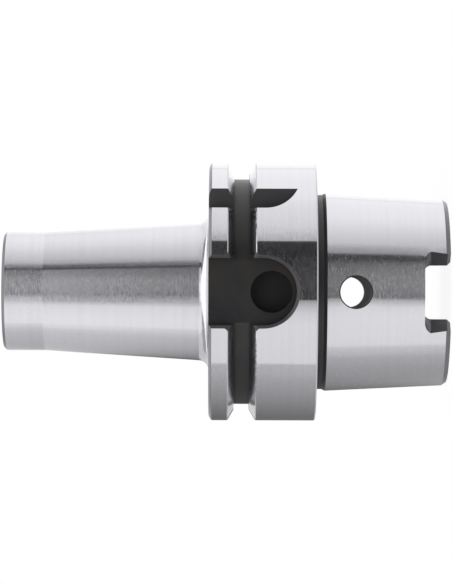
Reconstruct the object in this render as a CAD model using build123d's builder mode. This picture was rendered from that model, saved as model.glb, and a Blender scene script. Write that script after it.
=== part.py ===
from build123d import *
from math import asin, cos, hypot, radians, sin, tan
import os

# Screw-in cutter holder: a nose that takes a screw-in milling cutter, a flange that the
# tool changer grips, and a hollow taper shank that the machine spindle draws in.
# The holder is turned, milled and ground from one bar of case-hardened steel.
#
# Sizes are in millimetres. +Z runs along the axis towards the nose, and the origin is the
# centre of the contact face, where the flange meets the spindle nose. The first keyway,
# with the data-carrier hole, faces -Y.

# Flange, with its gripper groove and contact face
flange_diameter = 63.0
flange_width = 26.0
flange_front_edge_axial = 0.75
flange_front_edge_radial = 1.8
flange_back_bevel = 0.3
groove_from_front_face = 8.0
groove_depth = 4.0
groove_wall_height = 1.4
groove_floor_width = 3.75
groove_flank_angle = 30.0
groove_edge_break = 0.15
contact_face_relief_width = 2.7
contact_face_relief_depth = 0.4

# Hollow taper shank
shank_length = 32.0
gauge_diameter = 48.01
gauge_from_contact_face = 6.3
taper_ratio = 9.98
taper_start = 2.4
neck_depth = 0.4
neck_run_out = 0.8
shank_end_bevel_axial = 1.1
shank_end_bevel_radial = 0.7

# Nose
nose_length = 50.0
nose_diameter = 29.0
nose_straight_length = 10.0
nose_cone_rise = 2.5
nose_root_fillet = 2.5
nose_end_bevel = 0.7

# Cutter seat in the nose: a pilot bore, then the thread at its major diameter
pilot_diameter = 17.0
pilot_depth = 10.0
pilot_bevel = 0.5
cutter_thread_diameter = 16.0
cutter_thread_depth = 30.0
drill_point_angle = 59.0

# Coolant channel and the seat of the coolant tube
coolant_diameter = 8.0
tube_thread_diameter = 18.0
tube_thread_length = 9.5
tube_thread_bevel = 0.5
tube_seat_diameter = 13.0
tube_seat_length = 5.0

# Clamping cavity that the spindle's collet reaches into
lip_wall = 7.0
lip_mouth_bevel = 0.8
shoulder_from_contact_face = 18.13
shoulder_angle = 30.0
undercut_depth = 3.0
undercut_end = 5.0
cavity_throat_diameter = 30.0
cavity_depth = 10.0
cavity_throat_bevel = 1.0

# Keyways in the flange, open to its front face. The first faces -Y, the second +Y.
first_keyway_width = 16.0
second_keyway_width = 18.0
keyway_depth = 5.0
keyway_edge_break = 0.75
keyway_end_from_contact_face = 5.0
land_corner_radius = 1.2
land_corner_depth = 2.0
land_corner_inset = 0.05
data_hole_diameter = 10.0
data_hole_depth = 4.6
data_hole_from_contact_face = 11.0

# Orientation notch: two walls at right angles, run out by the radius of the end mill.
# Its floor faces -Y, and its side wall faces +X.
notch_floor_from_axis = 19.55
notch_side_from_axis = 20.0
notch_mill_radius = 8.5
notch_run_out_from_contact_face = 12.3

# Holes through the taper for the key that works the clamp by hand
key_hole_diameter = 7.5
key_hole_from_contact_face = 9.2
key_hole_bevel = 0.3

# Drive slots at the shank's end, parallel inside and flared towards the taper
first_slot_width = 12.9
second_slot_width = 13.4
slot_depth = 6.3
slot_corner_radius = 1.8
slot_lead_in = 0.8
slot_flare_depth = 6.7
slot_mouth_depth = 3.4
slot_flare_at_floor = 3.15
slot_flare_at_end = 2.6
slot_flare_corner_drop = 1.45

clear_of_part = 1.0
corner_cut_clearance = 0.5
edge_tolerance = 0.001

# Places that follow from the sizes above
flange_radius = flange_diameter / 2
gauge_radius = gauge_diameter / 2
nose_radius = nose_diameter / 2
nose_end = flange_width + nose_length
shank_end = -shank_length
cutter_bore_end = nose_end - cutter_thread_depth
keyway_floor_from_axis = flange_radius - keyway_depth
slot_flare_from_axis = gauge_radius - slot_flare_depth
slot_mouth_from_axis = gauge_radius - slot_mouth_depth
keyways = ((-1, first_keyway_width), (1, second_keyway_width))

# Section of the gripper groove
groove_flank_slope = tan(radians(groove_flank_angle))
groove_middle = flange_width - groove_from_front_face
groove_floor_radius = flange_radius - groove_depth
groove_flank_root_radius = groove_floor_radius + groove_wall_height
groove_break_radius = flange_radius - groove_edge_break
groove_half_floor = groove_floor_width / 2
groove_flank_rise = flange_radius - groove_flank_root_radius
groove_half_mouth = groove_half_floor + groove_flank_rise * groove_flank_slope
groove_half_break = groove_half_mouth - groove_edge_break * groove_flank_slope


def taper_radius(z):
    """Radius of the ground taper at a height z on the axis."""
    return (gauge_diameter + (z + gauge_from_contact_face) / taper_ratio) / 2


def side_plane(side, from_axis):
    """A plane that faces out along side * Y, with its own y running towards the nose."""
    return Plane(origin=(0, side * from_axis, 0), x_dir=(-side, 0, 0), z_dir=(0, side, 0))


def slot_outline(width, spread):
    """Outline of a drive slot: spread 0 is the parallel part, 1 is the mouth in the taper."""
    half = width / 2
    floor = shank_end + slot_depth
    end = shank_end - clear_of_part
    drop = slot_corner_radius + spread * (slot_flare_corner_drop - slot_corner_radius)
    half_flat = half - slot_corner_radius * (1 - spread)
    half_floor = half + spread * slot_flare_at_floor
    half_end = half + spread * slot_flare_at_end
    half_open = half_end + slot_lead_in + clear_of_part
    for hand in (1, -1):
        TangentArc((hand * half_flat, floor), (hand * half_floor, floor - drop), tangent=(hand, 0))
        Polyline(
            (hand * half_floor, floor - drop),
            (hand * half_end, shank_end + slot_lead_in),
            (hand * half_open, end),
        )
    Line((-half_flat, floor), (half_flat, floor))
    Line((-half_open, end), (half_open, end))


def land_corner_place(side, hand, land, half_width):
    """Where a corner of a land is rounded, between a keyway and the gripper groove.

    The place is the centre of the rounding on the flange's outside. side is -1 or 1 for the
    keyway, hand for the side of the keyway, and land is 1 in front of the groove and -1
    behind it. Its own x and y point past the corner.
    """
    past_wall = keyway_edge_break + land_corner_radius - land_corner_inset
    angle = asin(half_width / flange_radius) + past_wall / flange_radius
    outward = Vector(hand * sin(angle), side * cos(angle), 0)
    to_keyway = Vector(-hand * cos(angle), side * sin(angle), 0)
    to_groove = Vector(0, 0, -land)
    height = groove_middle + land * (groove_half_mouth + land_corner_radius)
    x_dir = to_keyway if outward.cross(to_keyway).dot(to_groove) > 0 else to_groove
    return Plane(origin=outward * flange_radius + Vector(0, 0, height), x_dir=x_dir, z_dir=outward)


# What is cut away to round one corner of a land: a square block less a cone
with BuildPart() as corner_cut:
    corner_reach = land_corner_radius + land_corner_depth
    corner_cut_height = land_corner_depth + corner_cut_clearance
    with Locations((0, 0, -land_corner_depth)):
        Box(corner_reach, corner_reach, corner_cut_height, align=(Align.MIN, Align.MIN, Align.MIN))
        Cone(
            land_corner_radius + land_corner_depth,
            land_corner_radius - corner_cut_clearance,
            corner_cut_height,
            align=(Align.CENTER, Align.CENTER, Align.MIN),
            mode=Mode.SUBTRACT,
        )

with BuildPart() as holder_body:
    # The outside, turned about the axis
    neck_radius = taper_radius(-taper_start) - neck_depth
    contact_face_inner_radius = neck_radius + contact_face_relief_width
    with BuildSketch(Plane.XZ) as outside:
        with BuildLine():
            Polyline(
                (0, shank_end),
                (taper_radius(shank_end) - shank_end_bevel_radial, shank_end),
                (
                    taper_radius(shank_end + shank_end_bevel_axial),
                    shank_end + shank_end_bevel_axial,
                ),
                (taper_radius(-taper_start), -taper_start),
                (neck_radius, neck_run_out - taper_start),
                (neck_radius, contact_face_relief_depth),
                (contact_face_inner_radius, contact_face_relief_depth),
                (contact_face_inner_radius, 0),
                (flange_radius - flange_back_bevel, 0),
                (flange_radius, flange_back_bevel),
                (flange_radius, flange_width),
                (nose_radius + nose_cone_rise, flange_width),
                (nose_radius, nose_end - nose_straight_length),
                (nose_radius, nose_end - nose_end_bevel),
                (nose_radius - nose_end_bevel, nose_end),
                (0, nose_end),
                close=True,
            )
        make_face()
        nose_root = (nose_radius + nose_cone_rise, flange_width)
        fillet(outside.vertices().sort_by_distance(nose_root)[0], radius=nose_root_fillet)
    revolve(axis=Axis.Z)

    # The inside, bored from both ends: clamping cavity, tube seat, channel, cutter seat
    lip_radius = gauge_radius - lip_wall
    undercut_radius = lip_radius + undercut_depth
    throat_radius = cavity_throat_diameter / 2
    shoulder_run = undercut_depth / tan(radians(shoulder_angle))
    shoulder_start = -shoulder_from_contact_face - shoulder_run / 2
    throat_start = undercut_radius - throat_radius - undercut_end
    tube_seat_start = cavity_depth + tube_thread_length
    tube_seat_end = tube_seat_start + tube_seat_length
    drill_slope = tan(radians(drill_point_angle))
    seat_point = (tube_seat_diameter - coolant_diameter) / 2 / drill_slope
    thread_point = (cutter_thread_diameter - coolant_diameter) / 2 / drill_slope
    with BuildSketch(Plane.XZ) as inside:
        with BuildLine():
            Polyline(
                (0, shank_end),
                (lip_radius + lip_mouth_bevel, shank_end),
                (lip_radius, shank_end + lip_mouth_bevel),
                (lip_radius, shoulder_start),
                (undercut_radius, shoulder_start + shoulder_run),
                (undercut_radius, -undercut_end),
                (throat_radius, throat_start),
                (throat_radius, cavity_depth),
                (tube_thread_diameter / 2 + tube_thread_bevel, cavity_depth),
                (tube_thread_diameter / 2, cavity_depth + tube_thread_bevel),
                (tube_thread_diameter / 2, tube_seat_start),
                (tube_seat_diameter / 2, tube_seat_start),
                (tube_seat_diameter / 2, tube_seat_end),
                (coolant_diameter / 2, tube_seat_end + seat_point),
                (coolant_diameter / 2, cutter_bore_end - thread_point),
                (cutter_thread_diameter / 2, cutter_bore_end),
                (cutter_thread_diameter / 2, nose_end - pilot_depth),
                (pilot_diameter / 2, nose_end - pilot_depth),
                (pilot_diameter / 2, nose_end - pilot_bevel),
                (pilot_diameter / 2 + pilot_bevel, nose_end),
                (0, nose_end),
                close=True,
            )
        make_face()
        throat_mouth = inside.vertices().sort_by_distance((throat_radius, throat_start))[0]
        chamfer(throat_mouth, length=cavity_throat_bevel)
    revolve(axis=Axis.Z, mode=Mode.SUBTRACT)

    # Keyways with a rounded end, and their broken edges
    keyway_open_end = flange_width + clear_of_part
    for side, width in keyways:
        end_centre = keyway_end_from_contact_face + width / 2
        with BuildSketch(side_plane(side, keyway_floor_from_axis)):
            with Locations((0, end_centre)):
                Circle(width / 2)
                Rectangle(width, keyway_open_end - end_centre, align=(Align.CENTER, Align.MIN))
        extrude(amount=keyway_depth + clear_of_part, mode=Mode.SUBTRACT)
        rim = [
            edge
            for edge in holder_body.edges(Select.LAST)
            if all(
                abs(hypot(point.X, point.Y) - flange_radius) < edge_tolerance
                for point in (edge @ 0, edge @ 0.5, edge @ 1)
            )
            and (edge @ 0.5).Z < flange_width - edge_tolerance
        ]
        chamfer(rim, length=keyway_edge_break)

    # Gripper groove and the rounded front edge of the flange, turned over the keyways' edges
    with BuildSketch(Plane.XZ):
        with BuildLine():
            Polyline(
                (flange_radius + clear_of_part, groove_middle - groove_half_mouth),
                (flange_radius, groove_middle - groove_half_mouth - groove_edge_break),
                (groove_break_radius, groove_middle - groove_half_break),
                (groove_flank_root_radius, groove_middle - groove_half_floor),
                (groove_floor_radius, groove_middle - groove_half_floor),
                (groove_floor_radius, groove_middle + groove_half_floor),
                (groove_flank_root_radius, groove_middle + groove_half_floor),
                (groove_break_radius, groove_middle + groove_half_break),
                (flange_radius, groove_middle + groove_half_mouth + groove_edge_break),
                (flange_radius + clear_of_part, groove_middle + groove_half_mouth),
                close=True,
            )
        make_face()
        with BuildLine():
            front_edge_start = (flange_radius - flange_front_edge_radial, flange_width)
            front_edge_end = (flange_radius, flange_width - flange_front_edge_axial)
            TangentArc(front_edge_start, front_edge_end, tangent=(1, 0))
            Polyline(
                front_edge_end,
                (flange_radius + clear_of_part, flange_width - flange_front_edge_axial),
                (flange_radius + clear_of_part, flange_width),
                front_edge_start,
            )
        make_face()
    revolve(axis=Axis.Z, mode=Mode.SUBTRACT)

    # Rounded corners of the lands, where the keyways cross the groove
    with Locations(
        *[
            land_corner_place(side, hand, land, width / 2)
            for side, width in keyways
            for hand in (1, -1)
            for land in (1, -1)
        ]
    ):
        add(corner_cut.part, mode=Mode.SUBTRACT)

    # Hole for the data carrier, in the floor of the first keyway
    with BuildSketch(side_plane(-1, keyway_floor_from_axis - data_hole_depth)):
        with Locations((0, data_hole_from_contact_face)):
            Circle(data_hole_diameter / 2)
    extrude(amount=data_hole_depth + clear_of_part, mode=Mode.SUBTRACT)

    # Orientation notch, beside the first keyway
    with BuildSketch(side_plane(-1, notch_floor_from_axis)):
        with Locations((notch_side_from_axis + notch_mill_radius, notch_run_out_from_contact_face)):
            Circle(notch_mill_radius)
        with Locations((notch_side_from_axis, notch_run_out_from_contact_face)):
            Rectangle(
                2 * notch_mill_radius,
                flange_width - notch_run_out_from_contact_face + clear_of_part,
                align=(Align.MIN, Align.MIN),
            )
    extrude(amount=flange_radius - notch_floor_from_axis, mode=Mode.SUBTRACT)

    # Drive slots, one on each side of the shank's end
    flare_height = slot_mouth_from_axis - slot_flare_from_axis
    outer_spread = (gauge_radius - slot_flare_from_axis) / flare_height
    for side, width in ((-1, first_slot_width), (1, second_slot_width)):
        with BuildSketch(side_plane(side, 0)):
            with BuildLine():
                slot_outline(width, 0)
            make_face()
        extrude(amount=slot_flare_from_axis, mode=Mode.SUBTRACT)
        for from_axis, spread in ((slot_flare_from_axis, 0), (gauge_radius, outer_spread)):
            with BuildSketch(side_plane(side, from_axis)):
                with BuildLine():
                    slot_outline(width, spread)
                make_face()
        loft(ruled=True, mode=Mode.SUBTRACT)

    # Clamp key holes, straight through both walls of the taper
    with BuildSketch(Plane.XZ):
        with Locations((0, -key_hole_from_contact_face)):
            Circle(key_hole_diameter / 2)
    extrude(amount=gauge_radius + clear_of_part, both=True, mode=Mode.SUBTRACT)
    key_hole_rims = [
        holder_body.edges().sort_by_distance((0, side * gauge_radius, -key_hole_from_contact_face))[0]
        for side in (-1, 1)
    ]
    chamfer(key_hole_rims, length=key_hole_bevel)

holder_body.part.label = "holder_body"

os.makedirs("parts", exist_ok=True)
export_step(holder_body.part, "parts/holder_body.step")
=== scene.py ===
# %% [markdown]
# # A screw-in cutter holder with a hollow taper shank
#
# The holder is turned, hardened and ground from one bar of steel. Its left half in the
# picture is the nose, which takes a screw-in milling cutter. The flange in the middle is
# gripped by the tool changer, and the taper on the right is drawn into the spindle.
# The solid itself comes with its exact shape, so this lesson gives it its finishes, cuts
# the two inner threads, and lights and frames it as a plain studio picture. Lengths are
# written in millimetres, and MM turns them into Blender's metres.

# %% Load the holder
import math

import bpy
import numpy as np
from mathutils import Matrix, Vector


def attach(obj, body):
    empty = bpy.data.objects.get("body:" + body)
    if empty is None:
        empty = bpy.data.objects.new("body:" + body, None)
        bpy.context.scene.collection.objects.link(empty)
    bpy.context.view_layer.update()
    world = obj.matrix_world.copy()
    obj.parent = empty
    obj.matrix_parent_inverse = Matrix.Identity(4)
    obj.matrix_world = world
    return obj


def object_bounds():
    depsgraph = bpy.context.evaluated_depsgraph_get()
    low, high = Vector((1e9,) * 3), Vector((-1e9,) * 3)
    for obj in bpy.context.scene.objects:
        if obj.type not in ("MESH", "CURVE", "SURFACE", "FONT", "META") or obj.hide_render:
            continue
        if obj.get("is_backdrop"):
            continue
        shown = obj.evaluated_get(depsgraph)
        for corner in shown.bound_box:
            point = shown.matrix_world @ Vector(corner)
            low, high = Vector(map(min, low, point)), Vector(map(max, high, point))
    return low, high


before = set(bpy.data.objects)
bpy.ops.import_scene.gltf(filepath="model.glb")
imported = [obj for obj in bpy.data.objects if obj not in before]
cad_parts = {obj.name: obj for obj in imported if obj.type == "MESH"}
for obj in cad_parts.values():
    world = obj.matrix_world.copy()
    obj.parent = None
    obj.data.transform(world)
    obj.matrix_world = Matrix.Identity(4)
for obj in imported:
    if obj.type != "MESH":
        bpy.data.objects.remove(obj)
cad_low, cad_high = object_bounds()
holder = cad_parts["holder_body"]
MM = 0.001
print("the holder's box in mm:", [round(v / MM, 2) for v in (*cad_low, *cad_high)])

# %% [markdown]
# The picture was taken with a long lens, square to the axis, and the holder lies across
# it with the nose to the left. The model stands on its shank, so the camera looks along
# +Y and is rolled a quarter turn: +Z then points left and +X points up. The axis also
# slopes down a fifth of a degree to the right, as a real camera's small roll gives it.

# %% The camera
PICTURE_HEIGHT = 584
CAMERA_DISTANCE = 815 * MM
PIXELS_PER_MM = 4.078
SENSOR = 36.0
ROLL = math.radians(0.22)
AIM = Vector((-0.1 * MM, 0, 21.8 * MM))

camera_data = bpy.data.cameras.new("camera")
camera_data.sensor_width = SENSOR
camera_data.lens = PIXELS_PER_MM / MM * CAMERA_DISTANCE * SENSOR / PICTURE_HEIGHT
camera = bpy.data.objects.new("camera", camera_data)
bpy.context.scene.collection.objects.link(camera)
bpy.context.scene.camera = camera

right = Vector((math.sin(ROLL), 0, -math.cos(ROLL)))
backward = Vector((0, -1, 0))
up = backward.cross(right)
turn = Matrix((right, up, backward)).transposed()
camera.matrix_world = Matrix.Translation(AIM + CAMERA_DISTANCE * backward) @ turn.to_4x4()
print("lens in mm:", round(camera_data.lens, 1))

# %% [markdown]
# Colours are written as the hex codes of a paint chart and turned into the linear values
# that the renderer works in. One small function adds a node, sets it and links it, so
# that each material below reads as a short list.

# %% Helpers for materials
def linear(code):
    """The linear colour of an sRGB hex code such as "#8C8F94"."""
    steps = [int(code[i:i + 2], 16) / 255 for i in (1, 3, 5)]
    return tuple(c / 12.92 if c <= 0.04045 else ((c + 0.055) / 1.055) ** 2.4 for c in steps)


def add_node(tree, kind, links=(), values=(), **settings):
    """Adds a node with its settings, its input values and its links from other sockets."""
    node = tree.nodes.new(kind)
    for name, value in settings.items():
        setattr(node, name, value)
    for key, value in dict(values).items():
        node.inputs[key].default_value = value
    for key, socket in dict(links).items():
        tree.links.new(socket, node.inputs[key])
    return node


def new_material(name):
    """An empty node material and its output node."""
    material = bpy.data.materials.new(name)
    material.use_nodes = True
    material.node_tree.nodes.clear()
    return material, add_node(material.node_tree, "ShaderNodeOutputMaterial")


print("a screen's middle grey in linear light:", round(linear("#808080")[0], 3))

# %% [markdown]
# Ground steel is cut by a wheel that runs round the axis, so its scratches run round the
# holder. Between them the steel is smooth and shows sharp reflections. In them it is
# rougher, and spreads what it reflects along the axis, but hardly around it: that is the
# shader's anisotropy. So the scratches show as a fine light grain in the dark reflections.
# Real ones are about a fiftieth of a millimetre wide, and these are drawn twice as wide,
# because finer ones don't show at this size. Each scratch is a short arc of a ring. A ring
# is told by its height and its radius together, so that end faces get rings as well, and
# the helper below puts that number in place of the height.

# %% Places counted in rings
RADIUS_SHARE = 1.7


def ring_places(tree):
    """A point's place, with the number of its ring round the axis as Z."""
    place = add_node(tree, "ShaderNodeTexCoord").outputs["Object"]
    flat = add_node(
        tree, "ShaderNodeVectorMath", {0: place}, {1: (1, 1, 0)}, operation="MULTIPLY")
    radius = add_node(
        tree, "ShaderNodeVectorMath", {0: flat.outputs["Vector"]}, operation="LENGTH")
    parts = add_node(tree, "ShaderNodeSeparateXYZ", {"Vector": place})
    ring = add_node(
        tree, "ShaderNodeMath", {0: radius.outputs["Value"], 2: parts.outputs["Z"]},
        {1: RADIUS_SHARE}, operation="MULTIPLY_ADD")
    places = add_node(
        tree, "ShaderNodeCombineXYZ",
        {"X": parts.outputs["X"], "Y": parts.outputs["Y"], "Z": ring.outputs["Value"]})
    return places.outputs["Vector"]


print("a ring's number grows along a radius by", RADIUS_SHARE, "and along the axis by 1")

# %% [markdown]
# The recipe stretches a noise along the rings to get the scratches. They set the roughness
# and, as a very shallow bump, the slope. A second, broader noise gives the faint bands that
# a grinding wheel leaves. The scratches' direction is a turn of the shader's tangent.

# %% A recipe for ground steel
SCRATCH_WIDTH, SCRATCH_LENGTH, SCRATCH_DEPTH = 0.045 * MM, 1.0 * MM, 0.0004 * MM
BAND_WIDTH, BAND_CONTRAST = 1.6 * MM, 0.05
AROUND_THE_AXIS = 0.25


def ground_steel(name, colour, smooth, scratched, least, most, anisotropy=1.0):
    """Steel that goes from smooth to scratched where the pattern is between least and most."""
    material, output = new_material(name)
    tree = material.node_tree
    rings = ring_places(tree)
    stretched = add_node(
        tree, "ShaderNodeMapping", {"Vector": rings},
        {"Scale": (1 / SCRATCH_LENGTH, 1 / SCRATCH_LENGTH, 1 / SCRATCH_WIDTH)})
    scratches = add_node(
        tree, "ShaderNodeTexNoise", {"Vector": stretched.outputs["Vector"]},
        {"Scale": 1.0, "Detail": 1.0, "Roughness": 0.5})
    rough = add_node(
        tree, "ShaderNodeMapRange", {"Value": scratches.outputs["Fac"]},
        {"From Min": 0.5 + least, "From Max": 0.5 + most,
         "To Min": smooth, "To Max": scratched})
    grooves = add_node(
        tree, "ShaderNodeBump", {"Height": scratches.outputs["Fac"]},
        {"Strength": 1.0, "Distance": SCRATCH_DEPTH})
    only_rings = add_node(
        tree, "ShaderNodeMapping", {"Vector": rings},
        {"Scale": (0.0, 0.0, 1 / BAND_WIDTH)})
    bands = add_node(
        tree, "ShaderNodeTexNoise", {"Vector": only_rings.outputs["Vector"]},
        {"Scale": 1.0, "Detail": 2.0, "Roughness": 0.6})
    shade = add_node(tree, "ShaderNodeMix", {"Factor": bands.outputs["Fac"]}, data_type="RGBA")
    for socket, factor in (("A", 1 - BAND_CONTRAST), ("B", 1 + BAND_CONTRAST)):
        shade.inputs[socket].default_value = (*(factor * c for c in linear(colour)), 1)
    tangent = add_node(tree, "ShaderNodeTangent", direction_type="RADIAL", axis="Z")
    shader = add_node(
        tree, "ShaderNodeBsdfPrincipled",
        {"Base Color": shade.outputs["Result"], "Roughness": rough.outputs["Result"],
         "Normal": grooves.outputs["Normal"], "Tangent": tangent.outputs["Tangent"]},
        {"Metallic": 1.0, "Anisotropic": anisotropy, "Anisotropic Rotation": AROUND_THE_AXIS})
    tree.links.new(shader.outputs["BSDF"], output.inputs["Surface"])
    return material


print("scratches to the millimetre:", round(MM / SCRATCH_WIDTH))

# %% [markdown]
# The flange, the taper and the nose are ground with wheels of different grit. The flange
# is the smoothest, and the nose's end is ground in a second setting, so it keeps a little
# more grain than the cone behind it. After its name and colour, each call gives the
# roughness between the scratches and in them, and the span of the noise, from its middle,
# over which the one turns into the other.

# %% Ground steel
# A near mirror: deep, sharp reflections with a faint grain.
ground_flange = ground_steel(
    "ground_hardened_steel_flange", "#D3D2D7", 0.09, 0.22, -0.06, 0.3)
# Satin streaks round the cone, which lift its dark reflection to a grey.
ground_taper = ground_steel(
    "ground_hardened_steel_taper", "#D3D2D7", 0.1, 0.28, -0.22, 0.25)
# The same, a little calmer.
ground_nose = ground_steel(
    "ground_hardened_steel_nose", "#D3D2D7", 0.1, 0.25, -0.25, 0.27)
# Slightly brighter and grainier.
ground_nose_end = ground_steel(
    "ground_hardened_steel_nose_end", "#D6D5DA", 0.12, 0.29, -0.32, 0.26)
ground = (ground_flange, ground_taper, ground_nose, ground_nose_end)
print("ground finishes:", [steel.name for steel in ground])

# %% [markdown]
# The lathe and the milling cutter leave a finish of their own before the steel is
# hardened. It shows as duller grey on the bevels, and as bright steel in the fillet at the
# nose's root and along the broken edges, which are smoothed last and wear bright in use.
# The same recipe serves them all, with rougher steel and weaker streaks: the last number
# is the anisotropy.

# %% Turned and milled steel
# Dull grey bevels that keep a broad, soft shine.
turned_steel = ground_steel(
    "turned_hardened_steel", "#6E6E71", 0.3, 0.4, -0.1, 0.1, 0.5)
# The bright, nearly grainless hollow at the nose's root.
fillet_steel = ground_steel(
    "smoothed_hardened_steel", "#CDCCD0", 0.15, 0.25, 0.0, 0.2, 0.3)
# End faces with fine rings.
face_steel = ground_steel(
    "face_ground_hardened_steel", "#C4C4C8", 0.2, 0.3, -0.1, 0.1, 0.6)
# Bright lines along the edges, where handling and the grinding stone reach the steel.
edge_steel = ground_steel(
    "edge_broken_hardened_steel", "#BDBDC1", 0.15, 0.5, 0.0, 0.1, 0.3)
# Dark, even walls of the drive slots.
milled_steel = ground_steel(
    "milled_hardened_steel", "#626265", 0.4, 0.5, -0.1, 0.1, 0.0)
# The matt inside of the bores.
bored_steel = ground_steel(
    "bored_hardened_steel", "#8E8D8E", 0.5, 0.6, -0.1, 0.1, 0.2)
cut = (turned_steel, fillet_steel, face_steel, edge_steel, milled_steel, bored_steel)
print("cut and smoothed finishes:", [steel.name for steel in cut])

# %% [markdown]
# Places that no wheel reaches keep the dark skin of the hardening furnace: the gripper
# groove, the keyways, the orientation notch, the neck behind the flange and the cavity
# inside the shank. The skin is a thin black oxide with patches of blue and brown. It has
# little colour of its own and shines like glaze where it is seen at a low angle, so it is
# made as a glaze and not as a metal.

# %% Dark steel from the hardening furnace
PATCH_SIZE = 9 * MM
UNEVEN = 0.06
GLAZE_IOR = 1.43


def furnace_steel(name, colours, roughness):
    """Dark steel with patches of three colours, from the coolest to the warmest."""
    material, output = new_material(name)
    tree = material.node_tree
    place = add_node(tree, "ShaderNodeTexCoord")
    mottle = add_node(
        tree, "ShaderNodeTexNoise", {"Vector": place.outputs["Object"]},
        {"Scale": 1 / PATCH_SIZE, "Detail": 3.0, "Roughness": 0.6})
    tint = add_node(tree, "ShaderNodeValToRGB", {"Fac": mottle.outputs["Fac"]})
    tint.color_ramp.elements.new(0.5)
    for stop, share, code in zip(tint.color_ramp.elements, (0.35, 0.5, 0.65), colours):
        stop.position, stop.color = share, (*linear(code), 1)
    gloss = add_node(
        tree, "ShaderNodeMapRange", {"Value": mottle.outputs["Fac"]},
        {"From Min": 0.3, "From Max": 0.7,
         "To Min": roughness - UNEVEN, "To Max": roughness + UNEVEN})
    shader = add_node(
        tree, "ShaderNodeBsdfPrincipled",
        {"Base Color": tint.outputs["Color"], "Roughness": gloss.outputs["Result"]},
        {"Metallic": 0.0, "IOR": GLAZE_IOR})
    tree.links.new(shader.outputs["BSDF"], output.inputs["Surface"])
    return material


# Nearly black recesses with a soft shine.
furnace_skin = furnace_steel("furnace_blackened_steel", ("#232327", "#272827", "#2C2725"), 0.38)
# A thinner skin, greyer, on narrow walls that a tool has touched.
thin_skin = furnace_steel("furnace_greyed_steel", ("#36363A", "#38383A", "#3B3837"), 0.38)
# The furnace's skin on the walls of the key holes, made a lighter grey as painted light where
# the walls catch light from the front.
key_hole_skin_painted_light = furnace_steel(
    "furnace_greyed_steel_in_holes", ("#5E5E62", "#626264", "#666463"), 0.4)
# The furnace's skin in the deep hole of the data carrier, darkened to near black as painted
# shade of the hole.
data_hole_skin_painted_shade = furnace_steel(
    "furnace_blackened_steel_in_holes", ("#111114", "#131313", "#151313"), 0.5)
dark = (furnace_skin, thin_skin, key_hole_skin_painted_light, data_hole_skin_painted_shade)
print("dark finishes:", [skin.name for skin in dark])

# %% [markdown]
# Each face of the solid takes its finish from where it lies: its distance from the axis,
# its height above the contact face, and the way it faces. The faces could be picked by
# hand, but rules with the holder's real sizes stay right when the solid is made anew. The
# mesh stays as it is, and only the material number of each face is set. First come the
# measures of every face.

# %% Measure the faces
mesh = holder.data
count = len(mesh.polygons)
centres, normals = np.empty(count * 3), np.empty(count * 3)
mesh.polygons.foreach_get("center", centres)
mesh.polygons.foreach_get("normal", normals)
across, behind, height = (centres.reshape(-1, 3) / MM).T
normal_across, normal_behind, upward = normals.reshape(-1, 3).T
steep = np.abs(upward)
from_axis = np.hypot(across, behind)
arm = np.maximum(from_axis, 0.01)
outward = (across * normal_across + behind * normal_behind) / arm
sideways = np.abs(across * normal_behind - behind * normal_across) / arm
print("faces:", count, "looking outward:", int((outward > 0.9).sum()))

# %% [markdown]
# The first finish that fits a face is kept, so the places that keep the furnace's skin
# come first: the data carrier's hole, whose skin is darkened further as painted shade,
# the edges of the keyways, the walls of the orientation notch, and the neck behind the
# flange. Faces are judged by their centres, so the limits, in millimetres, lie a little
# beside the real sizes.

# %% Dark places of the flange
DATA_HOLE_HEIGHT, DATA_HOLE_RADIUS = 11, 5.01
RIM_RADIUS = 31.38


def between(value, low, high):
    """True for the faces whose value lies between two limits."""
    return (value > low) & (value < high)


data_hole = ((behind < -21.8) & (height > 5.9) & (from_axis < 27.1)
             & (np.hypot(across, height - DATA_HOLE_HEIGHT) < DATA_HOLE_RADIUS))
keyway_edges = ((from_axis > 29.9) & between(height, 3.5, 25.9) & between(outward, 0.4, 0.93)
                & ((sideways > 0.15) | (height < 9)))
square_or_deep = ((np.abs(normal_behind) > 0.99) | (np.abs(normal_across) > 0.99)
                | (across < 28.4))
notch_walls = ((across > 19.4) & (behind < -19.5) & between(height, 3.5, 26.5) & (steep < 0.95)
               & between(from_axis, 27.2, RIM_RADIUS) & (outward < 0.9) & square_or_deep)
neck = between(height, -3, -0.05) & (outward > 0.3) & (from_axis < 24.2)
finishes = [(data_hole_skin_painted_shade, data_hole), (thin_skin, keyway_edges), (thin_skin, notch_walls),
            (thin_skin, neck)]
# The data hole's deeper skin is the furnace's skin darkened as painted shade.
print("faces with a thinner or deeper skin:", [int(faces.sum()) for _, faces in finishes])

# %% [markdown]
# The flange is 26 mm wide and 63 mm across. Its rim and the flanks of its V groove are
# ground, and the edges between them are broken. Its two ends are faced, and its front
# corner is turned to a bevel.

# %% Bright places of the flange
FLANGE_WIDTH = 26
GROOVE_LOW, GROOVE_HIGH = 14, 22
FLANK_SLOPE = 0.866
rim = (from_axis > RIM_RADIUS) & (outward > 0.95) & between(height, 0, FLANGE_WIDTH)
in_groove = between(height, GROOVE_LOW, GROOVE_HIGH)
flanks = (from_axis > 28.9) & (np.abs(steep - FLANK_SLOPE) < 0.02) & in_groove
groove_edges = (from_axis > 31.3) & in_groove & (sideways < 0.1) & between(steep, 0.3, 0.7)
back_edge = (from_axis > 31.1) & between(height, -0.1, 0.3) & (upward < -0.5)
front_bevel = (from_axis > 29) & (height > 25) & (upward > 0.5)
front_face = between(height, FLANGE_WIDTH - 0.01, FLANGE_WIDTH + 0.01) & (upward > 0.99)
contact_face = (np.abs(height) < 0.01) & (upward < -0.99)
finishes += [(ground_flange, rim), (ground_flange, flanks), (edge_steel, groove_edges),
             (edge_steel, back_edge), (turned_steel, front_bevel), (face_steel, front_face),
             (face_steel, contact_face)]
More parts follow.
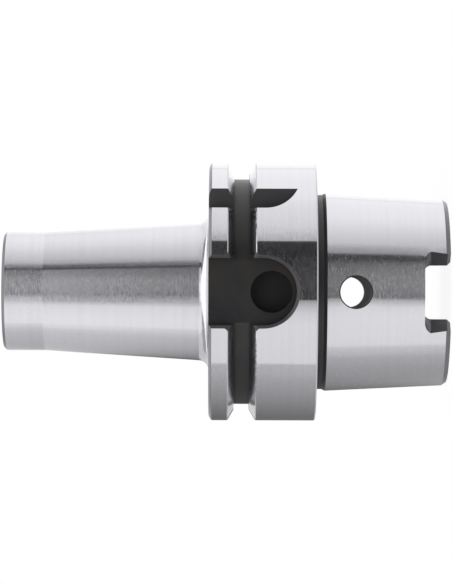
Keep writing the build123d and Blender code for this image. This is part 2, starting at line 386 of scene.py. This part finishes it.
print("faces of the rim and the flanks:", int(rim.sum()), int(flanks.sum()))

# %% [markdown]
# The nose is a cone of 3.6 degrees that ends in a short cylinder, and a fillet leads from
# the cone to the flange. The taper of the shank is told by its exact radius at each
# height. Its end is rounded, and two drive slots are milled into it.

# %% Finishes of the nose and the shank
NOSE_END, CYLINDER_START = 76, 66
GAUGE_DIAMETER, GAUGE_HEIGHT, TAPER = 48.01, -6.3, 9.98
KEY_HOLE_HEIGHT, KEY_HOLE_RADIUS = -9.2, 3.75
on_nose = (height > 26.01) & (outward > 0.9) & (from_axis > 13)
fillet = between(height, 26.01, 28.9) & (upward > 0.3) & (outward > 0.02)
end_bevel = (height > 75) & (np.abs(upward - 0.707) < 0.02) & (outward > 0.5)
taper_radius = (GAUGE_DIAMETER + (height - GAUGE_HEIGHT) / TAPER) / 2
on_taper = (height < -2.3) & (outward > 0.9) & (np.abs(from_axis - taper_radius) < 0.15)
slot_walls = (between(height, -31.99, -25.5) & (np.abs(behind) > 15) & (from_axis < 24.2)
              & between(outward, -0.9, 0.9))
key_hole_gap = np.abs(np.hypot(across, height - KEY_HOLE_HEIGHT) - KEY_HOLE_RADIUS)
key_holes = (key_hole_gap < 0.4) & (np.abs(behind) > 15) & (np.abs(normal_behind) < 0.3)
finishes += [
    (fillet_steel, fillet),
    (ground_nose_end, on_nose & (height > CYLINDER_START) & (upward < 0.02)),
    (ground_nose, on_nose & (upward < 0.31)),
    (turned_steel, end_bevel),
    (face_steel, (height > NOSE_END - 0.01) & (upward > 0.99)),
    (ground_taper, on_taper),
    (turned_steel, (height < -30.8) & (outward > 0.5) & (upward < -0.3)),
    (face_steel, (height < -31.99) & (upward < -0.99)),
    (milled_steel, slot_walls),
    (key_hole_skin_painted_light, key_holes),
    (bored_steel, (outward < -0.3) & (height < 26) & (from_axis < 20.5)),
    (bored_steel, (outward < -0.3) & (height > 26))]
print("rules in all:", len(finishes))

# %% [markdown]
# Everything that no rule names keeps the furnace's dark skin, which is material 0: the
# floors of the groove and the keyways, and the cavity inside the shank.

# %% Sort the faces by finish
numbers = np.zeros(count, np.int32)
mesh.materials.clear()
mesh.materials.append(furnace_skin)
for material, faces in finishes:
    if material.name not in mesh.materials:
        mesh.materials.append(material)
    numbers[faces & (numbers == 0)] = mesh.materials.find(material.name)
mesh.polygons.foreach_set("material_index", numbers)
for material, share in zip(mesh.materials, np.bincount(numbers)):
    print("faces of", material.name, int(share))

# %% [markdown]
# Two threads are cut inside: M16 in the nose for the cutter, and M18 x 1 in the shank for
# the coolant tube. The solid has both bores at the thread's full diameter, so each thread
# is a flat-topped ridge on the bore's wall, which winds up a helix and runs out at both
# ends. A bump in the material would be simpler, but it can't stand out from the wall, as
# the ridge does for someone who looks into the bore. A tree of Geometry Nodes sweeps the
# ridge's profile along a spiral, and both threads use it. The first half makes the spiral,
# and works out how much of the ridge stands at each point of it.

# %% The spiral of a thread
FOOT_IN_WALL = 0.05 * MM
RUN_OUT_TURNS = 0.4
POINTS_PER_TURN = 72

thread_tree = bpy.data.node_groups.new("inner_thread", "GeometryNodeTree")
for name in ("Bore Radius", "Start Height", "Pitch", "Turns",
             "Ridge Height", "Ridge Foot", "Ridge Top"):
    thread_tree.interface.new_socket(name, in_out="INPUT", socket_type="NodeSocketFloat")
thread_tree.interface.new_socket("Finish", in_out="INPUT", socket_type="NodeSocketMaterial")
thread_tree.interface.new_socket("Thread", in_out="OUTPUT", socket_type="NodeSocketGeometry")
sizes = add_node(thread_tree, "NodeGroupInput").outputs

rise = add_node(
    thread_tree, "ShaderNodeMath", {0: sizes["Turns"], 1: sizes["Pitch"]}, operation="MULTIPLY")
spiral = add_node(
    thread_tree, "GeometryNodeCurveSpiral",
    {"Rotations": sizes["Turns"], "Start Radius": sizes["Bore Radius"],
     "End Radius": sizes["Bore Radius"], "Height": rise.outputs[0]},
    {"Resolution": POINTS_PER_TURN})
upright = add_node(
    thread_tree, "GeometryNodeSetCurveNormal", {"Curve": spiral.outputs["Curve"]}, mode="Z_UP")
share = add_node(thread_tree, "GeometryNodeSplineParameter").outputs["Factor"]
rest_of_it = add_node(
    thread_tree, "ShaderNodeMath", {1: share}, {0: 1.0}, operation="SUBTRACT")
from_end = add_node(
    thread_tree, "ShaderNodeMath", {0: share, 1: rest_of_it.outputs[0]}, operation="MINIMUM")
turns_from_end = add_node(
    thread_tree, "ShaderNodeMath", {0: from_end.outputs[0], 1: sizes["Turns"]},
    operation="MULTIPLY")
grown = add_node(
    thread_tree, "ShaderNodeMath", {0: turns_from_end.outputs[0]}, {1: RUN_OUT_TURNS},
    operation="DIVIDE")
run_out = add_node(
    thread_tree, "ShaderNodeMath", {0: grown.outputs[0]}, {1: 1.0}, operation="MINIMUM")
print("points to a turn:", POINTS_PER_TURN)

# %% [markdown]
# The second half sweeps the ridge's profile along the spiral. The profile is turned so
# that its top looks at the axis, and its foot reaches a little into the wall, so that no
# gap shows. At each end the ridge shrinks to nothing over less than half a turn.

# %% The ridge of a thread
ridge = add_node(
    thread_tree, "GeometryNodeCurvePrimitiveQuadrilateral",
    {"Bottom Width": sizes["Ridge Foot"], "Top Width": sizes["Ridge Top"],
     "Height": sizes["Ridge Height"]}, {"Offset": 0.0}, mode="TRAPEZOID")
half_height = add_node(
    thread_tree, "ShaderNodeMath", {0: sizes["Ridge Height"]}, {1: 0.5}, operation="MULTIPLY")
inward = add_node(
    thread_tree, "ShaderNodeMath", {0: half_height.outputs[0]}, {1: FOOT_IN_WALL},
    operation="SUBTRACT")
shift = add_node(thread_tree, "ShaderNodeCombineXYZ", {"X": inward.outputs[0]})
profile = add_node(
    thread_tree, "GeometryNodeTransform",
    {"Geometry": ridge.outputs["Curve"], "Translation": shift.outputs["Vector"]},
    {"Rotation": (0, 0, -math.pi / 2)})
sweep = add_node(
    thread_tree, "GeometryNodeCurveToMesh",
    {"Curve": upright.outputs["Curve"], "Profile Curve": profile.outputs["Geometry"],
     "Scale": run_out.outputs[0]}, {"Fill Caps": True})
lift = add_node(thread_tree, "ShaderNodeCombineXYZ", {"Z": sizes["Start Height"]})
placed = add_node(
    thread_tree, "GeometryNodeTransform",
    {"Geometry": sweep.outputs["Mesh"], "Translation": lift.outputs["Vector"]})
real = add_node(
    thread_tree, "GeometryNodeRealizeInstances", {"Geometry": placed.outputs["Geometry"]})
finished = add_node(
    thread_tree, "GeometryNodeSetMaterial",
    {"Geometry": real.outputs["Geometry"], "Material": sizes["Finish"]})
add_node(thread_tree, "NodeGroupOutput", {"Thread": finished.outputs["Geometry"]})
print("nodes in the tree:", len(thread_tree.nodes))

# %% [markdown]
# A tap cuts the threads before hardening, and its lips leave them a little rougher than
# ground steel. Each thread gets its sizes as the tree's inputs, is turned into a plain
# mesh, and keeps its corners sharp. Then it rides with the holder.

# %% Wind both threads
# Grey flanks with a short, blurred shine.
thread_steel = ground_steel("tapped_hardened_steel", "#A6A6A9", 0.2, 0.4, -0.1, 0.15, 0.5)
SHARP_FROM = math.radians(30)


def wind_thread(name, **given):
    """Makes one thread from its sizes in mm and frees it from the tree."""
    thread = bpy.data.objects.new(name, bpy.data.meshes.new(name + "_before"))
    bpy.context.scene.collection.objects.link(thread)
    winder = thread.modifiers.new("wind", "NODES")
    winder.node_group = thread_tree
    for socket in thread_tree.interface.items_tree:
        if socket.in_out == "INPUT" and socket.name != "Finish":
            value = given[socket.name.lower().replace(" ", "_")]
            winder[socket.identifier] = value if socket.name == "Turns" else value * MM
        elif socket.in_out == "INPUT":
            winder[socket.identifier] = thread_steel
    graph = bpy.context.evaluated_depsgraph_get()
    wound = bpy.data.meshes.new_from_object(thread.evaluated_get(graph), depsgraph=graph)
    thread.modifiers.remove(winder)
    wound.name = name
    thread.data = wound
    wound.shade_smooth()
    wound.set_sharp_from_angle(angle=SHARP_FROM)
    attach(thread, "root")
    heights = [corner.co.z / MM for corner in wound.vertices]
    print(name, "faces", len(wound.polygons), "from", round(min(heights), 2),
          "to", round(max(heights), 2), "mm")


wind_thread("cutter_thread", bore_radius=8.0, start_height=47.0, pitch=2.0, turns=9.0,
            ridge_height=1.08, ridge_foot=1.75, ridge_top=0.5)
wind_thread("coolant_tube_thread", bore_radius=9.0, start_height=10.6, pitch=1.0, turns=8.4,
            ridge_height=0.54, ridge_foot=0.875, ridge_top=0.25)

# %% [markdown]
# The studio is a white tent. The camera and every reflection see it as plain white. The
# light that falls on matt surfaces stays at a lower, plain level, so that they don't turn
# too bright, and the Light Path node tells the two apart.

# %% The white tent
WORLD_LEVEL = 0.8


def seen_directly(tree):
    """A socket that is 1 where the camera, a reflection or clear glass looks, or else 0."""
    rays = add_node(tree, "ShaderNodeLightPath")
    seen = add_node(
        tree, "ShaderNodeMath",
        {0: rays.outputs["Is Camera Ray"], 1: rays.outputs["Is Glossy Ray"]},
        operation="MAXIMUM")
    seen = add_node(
        tree, "ShaderNodeMath",
        {0: seen.outputs[0], 1: rays.outputs["Is Transmission Ray"]}, operation="MAXIMUM")
    return seen.outputs[0]


world = bpy.data.worlds.new("white_tent")
world.use_nodes = True
tree = world.node_tree
tree.nodes.clear()
level = add_node(
    tree, "ShaderNodeMapRange", {"Value": seen_directly(tree)},
    {"To Min": WORLD_LEVEL, "To Max": 1.0})
tent = add_node(
    tree, "ShaderNodeBackground", {"Strength": level.outputs["Result"]},
    {"Color": (1, 1, 1, 1)})
add_node(tree, "ShaderNodeOutputWorld", {"Surface": tent.outputs["Background"]})

scene = bpy.context.scene
scene.world = world
scene.view_settings.view_transform = "Standard"
print("light of the tent on matt surfaces:", WORLD_LEVEL)

# %% [markdown]
# The holder stands on a pale board, which touches its shank's end. The board is mostly
# its own plain white, and the rest of it is lit, so it keeps a faint shadow: on one even
# white the holder would float. It is left out of reflections, because the picture shows
# the steel free of any floor.

# %% The floor
FLOOR_RADIUS, FLOOR_HEIGHT, FLOOR_CORNERS = 400, -32.02, 96
FLOOR_OWN_WHITE, FLOOR_LIT_SHARE = 0.92, 0.1

white_floor, output = new_material("matt_white_board")
tree = white_floor.node_tree
seen = seen_directly(tree)
glow = add_node(
    tree, "ShaderNodeMapRange", {"Value": seen}, {"To Min": 0.0, "To Max": FLOOR_OWN_WHITE})
own_white = add_node(
    tree, "ShaderNodeEmission", {"Strength": glow.outputs["Result"]}, {"Color": (1, 1, 1, 1)})
lit_colour = add_node(tree, "ShaderNodeMix", {"Factor": seen}, data_type="RGBA")
lit_colour.inputs["A"].default_value = (*linear("#E6E6E6"), 1)
lit_colour.inputs["B"].default_value = (FLOOR_LIT_SHARE, FLOOR_LIT_SHARE, FLOOR_LIT_SHARE, 1)
lit = add_node(tree, "ShaderNodeBsdfDiffuse", {"Color": lit_colour.outputs["Result"]})
both = add_node(
    tree, "ShaderNodeAddShader", {0: own_white.outputs["Emission"], 1: lit.outputs["BSDF"]})
tree.links.new(both.outputs["Shader"], output.inputs["Surface"])
white_floor.cycles.emission_sampling = "NONE"

floor_mesh = bpy.data.meshes.new("floor")
rim_points = [(FLOOR_RADIUS * math.cos(a), FLOOR_RADIUS * math.sin(a), FLOOR_HEIGHT)
              for a in np.linspace(0, 2 * math.pi, FLOOR_CORNERS, endpoint=False)]
floor_mesh.from_pydata(
    [[v * MM for v in point] for point in rim_points], [], [list(range(FLOOR_CORNERS))])
floor_mesh.materials.append(white_floor)
floor = bpy.data.objects.new("floor", floor_mesh)
scene.collection.objects.link(floor)
floor.visible_glossy = False
floor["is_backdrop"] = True
print("floor in mm below the contact face:", -FLOOR_HEIGHT)

# %% [markdown]
# One large soft lamp hangs in front of the holder and above it. It only lights what is
# matt: the floor, and the little that the dark skin scatters. The steel takes its look
# from the cards of the tent.

# %% Soft lamp
LAMP_SIZE, LAMP_PLACE, LAMP_LEVEL = 600, Vector((-150, -700, 500)), 0.25

lamp_data = bpy.data.lights.new("soft_lamp", "AREA")
lamp_data.shape = "SQUARE"
lamp_data.size = LAMP_SIZE * MM
lamp_data.energy = LAMP_LEVEL * (math.pi * LAMP_PLACE.length * MM) ** 2
lamp = bpy.data.objects.new("soft_lamp", lamp_data)
scene.collection.objects.link(lamp)
lamp.visible_glossy = False
facing = LAMP_PLACE.to_track_quat("Z", "Y").to_matrix().to_4x4()
lamp.matrix_world = Matrix.Translation(LAMP_PLACE * MM) @ facing
print("lamp in watts:", round(lamp_data.energy, 2))

# %% [markdown]
# Polished steel is only as good as what it mirrors. A lamp would show in it as one hard
# spot, while a card shows as a band with edges, as it does in a photographer's tent. So
# cards hang in the tent, and only reflections see them. Each card is a sheet that glows,
# and how bright it glows is stored at its points, so that one material serves them all.

# %% Cards that only reflections see
# Paper lit from behind: no texture, only a soft change of brightness.
card_light, output = new_material("lit_paper_cards")
tree = card_light.node_tree
glow = add_node(tree, "ShaderNodeAttribute", attribute_name="glow")
light = add_node(
    tree, "ShaderNodeEmission", {"Strength": glow.outputs["Fac"]}, {"Color": (1, 1, 1, 1)})
tree.links.new(light.outputs["Emission"], output.inputs["Surface"])
card_light.cycles.emission_sampling = "NONE"


def card(name, place, glow, columns, rows):
    """Hangs a sheet. place gives a point for two shares, and glow a level for a point."""
    points, levels, faces = [], [], []
    for row in range(rows + 1):
        for column in range(columns + 1):
            point = place(column / columns, row / rows)
            points.append([v * MM for v in point])
            levels.append(glow(*point))
    for row in range(rows):
        for column in range(columns):
            first = row * (columns + 1) + column
            faces.append((first, first + 1, first + columns + 2, first + columns + 1))
    data = bpy.data.meshes.new(name)
    data.from_pydata(points, [], faces)
    attribute = data.attributes.new("glow", "FLOAT", "POINT")
    attribute.data.foreach_set("value", levels)
    data.materials.append(card_light)
    made = bpy.data.objects.new(name, data)
    bpy.context.scene.collection.objects.link(made)
    made.visible_camera = made.visible_diffuse = False
    made.visible_shadow = made.visible_transmission = False
    made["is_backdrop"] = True
    print(name, "glows from", round(min(levels), 3), "to", round(max(levels), 3))


print("material of the cards:", card_light.name)

# %% [markdown]
# The holder is round, so a line along it always mirrors the same angle of the tent, and
# the cards are bent round the axis, 800 mm away. An angle of 0 is the camera's side and
# 90 is up in the picture. Where the holder is a cone, it mirrors cards further along the
# axis: the flange mirrors the heights from -20 to 30, the nose those above 110, and the
# taper those below -110. So a card's edges and its glow are written as short tables, and
# slide from one entry to the next.

# %% Bent cards and their glow
CARD_DISTANCE, COLUMNS = 800.0, 90
# All sheets have a row of points every 10 mm, so that neighbours' edges meet exactly.
ROW_HEIGHT = 10
# The heights where each table holds. Between them the glow slides to the next one.
TAPER_BELOW, FLANGE_FROM, FLANGE_TO, FRONT_FROM, FRONT_TO, NOSE_ABOVE = -130, -70, 0, 30, 75, 115


def along(table):
    """A value that slides between the steps of a table of places and values."""
    places, values = zip(*sorted(table))
    return lambda place: float(np.interp(place, places, values))


def wall(name, from_edge, to_edge, low, high, glow):
    """Hangs a sheet bent round the holder, between two edges given as angles by height."""
    def place(share_across, share_up):
        z = low + (high - low) * share_up
        angle = math.radians(from_edge(z) + (to_edge(z) - from_edge(z)) * share_across)
        return CARD_DISTANCE * math.sin(angle), -CARD_DISTANCE * math.cos(angle), z
    card(name, place, glow, COLUMNS, round((high - low) / ROW_HEIGHT))


def by_angle(taper, flange, nose, flange_front=1.0, edges=None):
    """The glow of a sheet, from a table of angles and levels for each part that mirrors it.

    The flange's levels are multiplied by flange_front towards the nose. With edges, the
    tables go by the share of the way from one edge to the other.
    """
    spans = [along(table) for table in (taper, flange, nose)]

    def glow(x, y, z):
        where = math.degrees(math.atan2(x, -y))
        if edges:
            start, end = (edge(z) for edge in edges)
            where = (where - start) / (end - start)
        low, middle, high = (span(where) for span in spans)
        front = flange_front * middle
        return along([
            (TAPER_BELOW, low), (FLANGE_FROM, middle), (FLANGE_TO, middle),
            (FRONT_FROM, front), (FRONT_TO, front), (NOSE_ABOVE, high)])(z)
    return glow


print("angle between two columns of a quarter-round card:", 90 / COLUMNS)

# %% [markdown]
# Three edges cross the whole tent, and each shows as a line along the holder: the upper
# and the lower edge of the black card, and the step from the white front to the grey
# below it. They bend where the real ones hung askew.

# %% Edges of the cards
upper_edge = along([
    (-165, 46), (-152, 48.5), (-141, 52), (-127, 54), (-113, 56.5), (-90, 58), (-65, 44.8),
    (45, 44.8), (85, 54), (120, 54), (130, 61), (140, 62), (150, 59), (170, 56), (200, 52)])
lower_edge = along([
    (-120, -8.4), (-70, -7.2), (45, -7.2), (85, -11.5), (112, -14.5), (120, -15.5),
    (130, -24), (142, -27), (172, -20.5), (200, -18.5)])
step_edge = along([
    (-165, -68), (-150, -70.5), (-137, -73), (-110, -80), (-90, -82), (-65, -66.5),
    (-17, -66.5), (45, -64.5), (85, -67.5), (122, -70), (132, -88), (145, -84), (175, -76)])
print("the black card's edges at the flange:", upper_edge(0), lower_edge(0))

# %% [markdown]
# The black card is what makes the steel look like steel: a dark band with hard edges,
# darkest along its upper one. Two black stands hold it beyond both ends of the holder.
# They aren't mirrored sharply, but they keep white light out of the scratches, and so
# the line along the upper edge stays dark.

# %% The black card and its stands
CARD_LOW, CARD_HIGH, STAND_REACH = -320, 250, 1500
stand_edge = along([(-130, 38), (110, 42)])

wall("black_card", lower_edge, upper_edge, CARD_LOW, CARD_HIGH, by_angle(
    [(0.0, 0.1), (0.1, 0.205), (0.3, 0.27), (0.5, 0.24), (0.6, 0.22), (0.7, 0.14),
     (0.8, 0.13), (0.9, 0.05)],
    [(0.0, 0.03), (0.15, 0.022), (0.5, 0.012), (0.75, 0.004), (0.82, 0.015),
     (0.9, 0.03), (1.0, 0.07)],
    [(0.0, 0.04), (0.08, 0.03), (0.15, 0.05), (0.25, 0.14), (0.4, 0.2), (0.6, 0.185),
     (0.7, 0.165), (0.8, 0.125), (0.9, 0.13), (1.0, 0.08)],
    edges=(lower_edge, upper_edge)))
wall("black_stand_above", stand_edge, upper_edge, CARD_HIGH, STAND_REACH,
     lambda x, y, z: 0.0)
wall("black_stand_below", stand_edge, upper_edge, -STAND_REACH, CARD_LOW,
     lambda x, y, z: 0.0)

# %% [markdown]
# Above the black card the tent is white and grows brighter towards the top, with a dark
# seam near 140 degrees that draws the fine line under the outline. In front of the holder
# it is white as well, and below the step it is grey.

# %% White and grey panels
PANEL_REACH, GREY_REACH = 700, 500

wall("top_panel", upper_edge, lambda z: 180, -PANEL_REACH, PANEL_REACH, by_angle(
    [(49, 0.56), (54, 0.62), (59, 0.7), (65, 0.78), (76, 0.95), (89, 1.12), (103, 1.23),
     (137, 1.26), (141, 1.08), (145, 1.26), (180, 1.15)],
    [(46, 0.87), (50, 0.92), (54, 0.97), (60, 1.02), (66, 1.06), (80, 1.12), (94, 1.23),
     (138, 1.28), (142, 1.08), (146, 1.28), (180, 1.12)],
    [(55, 0.59), (62, 0.64), (70, 0.745), (80, 0.855), (91, 0.98), (102, 1.08),
     (116, 1.17), (133, 1.14), (137, 1.0), (141, 1.14), (180, 1.12)]))
wall("front_panel", step_edge, lower_edge, -PANEL_REACH, PANEL_REACH, by_angle(
    [(-8, 0.47), (-11, 0.67), (-15, 0.92), (-19, 1.12), (-24, 1.12), (-50, 1.08),
     (-72, 1.02)],
    [(-7, 0.52), (-9, 0.59), (-11, 0.69), (-14.6, 0.81), (-18, 0.89), (-22, 0.95),
     (-30, 1.0), (-67, 0.94)],
    [(-14, 0.5), (-17, 0.63), (-21, 0.78), (-26, 0.96), (-34, 1.08), (-51, 1.2),
     (-76, 1.2)]))
wall("grey_panel", lambda z: -180, step_edge, -GREY_REACH, GREY_REACH, by_angle(
    [(-71, 0.7), (-77, 0.66), (-83, 0.6), (-90, 0.55), (-105, 0.49), (-122, 0.53),
     (-140, 0.62), (-180, 0.68)],
    [(-66, 0.6), (-76, 0.59), (-86, 0.51), (-96, 0.45), (-107, 0.385), (-128, 0.27),
     (-149, 0.2), (-180, 0.17)],
    [(-75, 0.94), (-83, 0.92), (-93, 0.89), (-103, 0.86), (-115, 0.83), (-129, 0.8),
     (-150, 0.78), (-180, 0.77)],
    flange_front=0.82))

# %% [markdown]
# The nose's root and the bevels look up along the axis. They mirror a bright softbox over
# the nose, with a grey sheet on each side of it. These sheets are flat and even, so a few
# steps across and along are enough.

# %% Sheets beyond the nose
SHEET_HEIGHT, SHEET_START, SHEET_LENGTH = 800, -1400, 4000
SHEET_STEPS = 4


def ceiling(low, high):
    """Places a flat sheet above the nose, between two distances across the axis."""
    def place(share_across, share_back):
        x = low + (high - low) * share_across
        return x, SHEET_START + SHEET_LENGTH * share_back, SHEET_HEIGHT
    return place


for name, low, high, shine in (("overhead_softbox", -480, 570, 1.7),
                               ("overhead_grey_left", 570, 930, 0.3),
                               ("overhead_grey_right", -1100, -480, 0.5)):
    card(name, ceiling(low, high), lambda x, y, z: shine, SHEET_STEPS, SHEET_STEPS)

# %% [markdown]
# The size of the finished model is written beside the size of the solid, because the two
# have to agree.

# %% Write the sizes and finish
low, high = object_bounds()
print("the finished model's box in mm:", [round(v / MM, 2) for v in (*low, *high)])
{"cad": [list(cad_low), list(cad_high)], "visual": [list(low), list(high)]}
